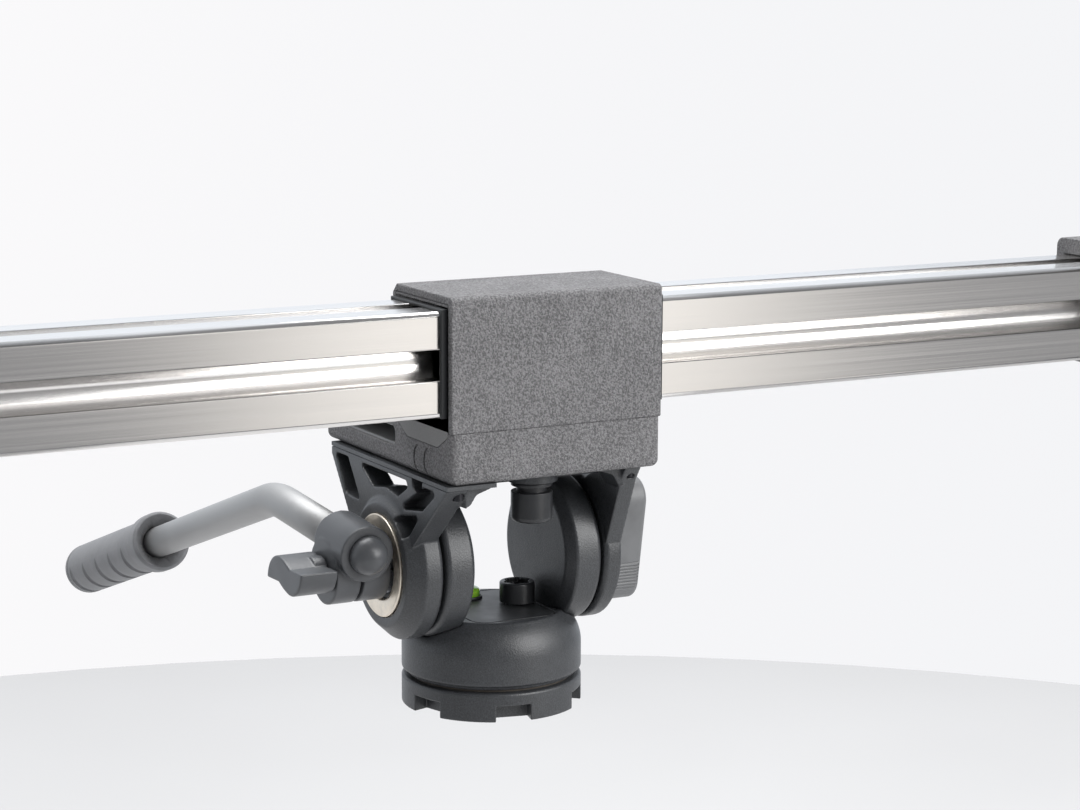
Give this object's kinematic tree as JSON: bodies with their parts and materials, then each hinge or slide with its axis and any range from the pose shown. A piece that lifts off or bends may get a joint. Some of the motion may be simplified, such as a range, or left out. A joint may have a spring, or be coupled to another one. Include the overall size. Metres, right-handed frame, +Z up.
{
  "type": "camera slider",
  "caption": "Slotted aluminium rail sliding through a printed carriage block on a pan and tilt fluid head with a bent handle, for carrying cameras side by side.",
  "frame": {"origin": "on the pan axis at the base's bottom face, at the mouth of the tripod thread", "axes": "+X along the rail, +Y to the back, the pan handle's side, +Z up along the pan axis"},
  "size_m": [0.622, 0.3729, 0.19],
  "materials": {
    "rail_aluminium": "satin anodised, brushed along its length",
    "printed_nylon": "grainy sintered nylon",
    "seat_nylon": "smooth printed face",
    "glide_plastic": "smooth acetal",
    "head_black": "fine textured black coating on cast metal",
    "cover_black": "moulded, fine texture",
    "knob_black": "satin moulded",
    "clamp_black": "satin black coating",
    "drag_grey": "satin grey",
    "turned_ring": "turned, champagne anodised",
    "tube_silver": "satin",
    "grip_rubber": "matt, ribbed",
    "level_liquid": "clear green liquid",
    "black_screw": "black oxide",
    "steel": "turned",
    "bronze": "sintered",
    "brass_insert": "turned",
    "friction_lining": "hard fibre"
  },
  "bodies": {
    "base": {"base_ring": "head_black", "pan_spindle": "steel", "base_screws": "black_screw", "pan_nut": "steel", "pan_friction_disc": "friction_lining"},
    "pan_head": {"pan_housing": "head_black", "pan_bearing": "bronze", "pan_cover": "cover_black", "hub_left": "head_black", "hub_right": "head_black", "hub_screws": "black_screw", "level_cup": "cover_black", "level_vial": "level_liquid", "tilt_bush_left": "bronze", "tilt_bush_right": "bronze", "friction_washer_left": "friction_lining", "friction_washer_right": "friction_lining"},
    "pan_lock": {"lock_knob": "knob_black", "lock_stem": "steel"},
    "cradle": {"arm_left": "head_black", "arm_right": "head_black", "arm_screws": "black_screw", "platform": "head_black", "rosette_ring": "turned_ring", "tilt_axle_left": "steel", "tilt_axle_right": "steel", "drag_springs": "steel", "anti_twist_pins": "steel", "lower_block": "printed_nylon", "block_insert": "brass_insert", "rail_seat": "seat_nylon", "rail_liner": "glide_plastic", "hood": "printed_nylon", "hood_screws": "black_screw", "slot_sleeve": "tube_silver"},
    "plate_screw": {"screw_knob": "knob_black", "camera_screw": "steel"},
    "rail": {"rail": "rail_aluminium", "end_mount_left": "printed_nylon", "end_mount_right": "printed_nylon", "end_insert_left": "brass_insert", "end_insert_right": "brass_insert", "end_screws": "black_screw", "clamp_screws": "black_screw"},
    "handle": {"handle_clamp": "clamp_black", "tube_plug": "knob_black", "handle_tube": "tube_silver", "handle_grip": "grip_rubber", "grip_cap": "grip_rubber"},
    "wing": {"wing_knob": "knob_black", "wing_stud": "steel"},
    "drag": {"drag_knob": "drag_grey", "drag_stud": "steel"}
  },
  "joints": [
    {"name": "pan", "type": "hinge", "parent": "base", "child": "pan_head", "pos_m": [0, 0, 0], "axis": [0, 0, 1], "continuous": true},
    {"name": "tilt", "type": "hinge", "parent": "pan_head", "child": "cradle", "pos_m": [0, 0, 0.06], "axis": [1, 0, 0], "range_deg": [-60, 50]},
    {"name": "rail_slide", "type": "slide", "parent": "cradle", "child": "rail", "axis": [1, 0, 0], "range_m": [-0.225, 0.225]},
    {"name": "handle_swing", "type": "hinge", "parent": "cradle", "child": "handle", "pos_m": [0, 0, 0.06], "axis": [1, 0, 0], "range_deg": [-60, 60]},
    {"name": "wing_turn", "type": "hinge", "parent": "handle", "child": "wing", "pos_m": [0, 0, 0.06], "axis": [1, 0, 0], "continuous": true},
    {"name": "drag_turn", "type": "hinge", "parent": "cradle", "child": "drag", "pos_m": [0, 0, 0.06], "axis": [1, 0, 0], "range_deg": [-120, 120]},
    {"name": "pan_lock_turn", "type": "hinge", "parent": "pan_head", "child": "pan_lock", "pos_m": [0.0116, 0, 0.038], "axis": [0, 0, 1], "continuous": true},
    {"name": "plate_screw_turn", "type": "hinge", "parent": "cradle", "child": "plate_screw", "pos_m": [0, -0.034, 0.09], "axis": [0, 0, 1], "continuous": true}
  ]
}
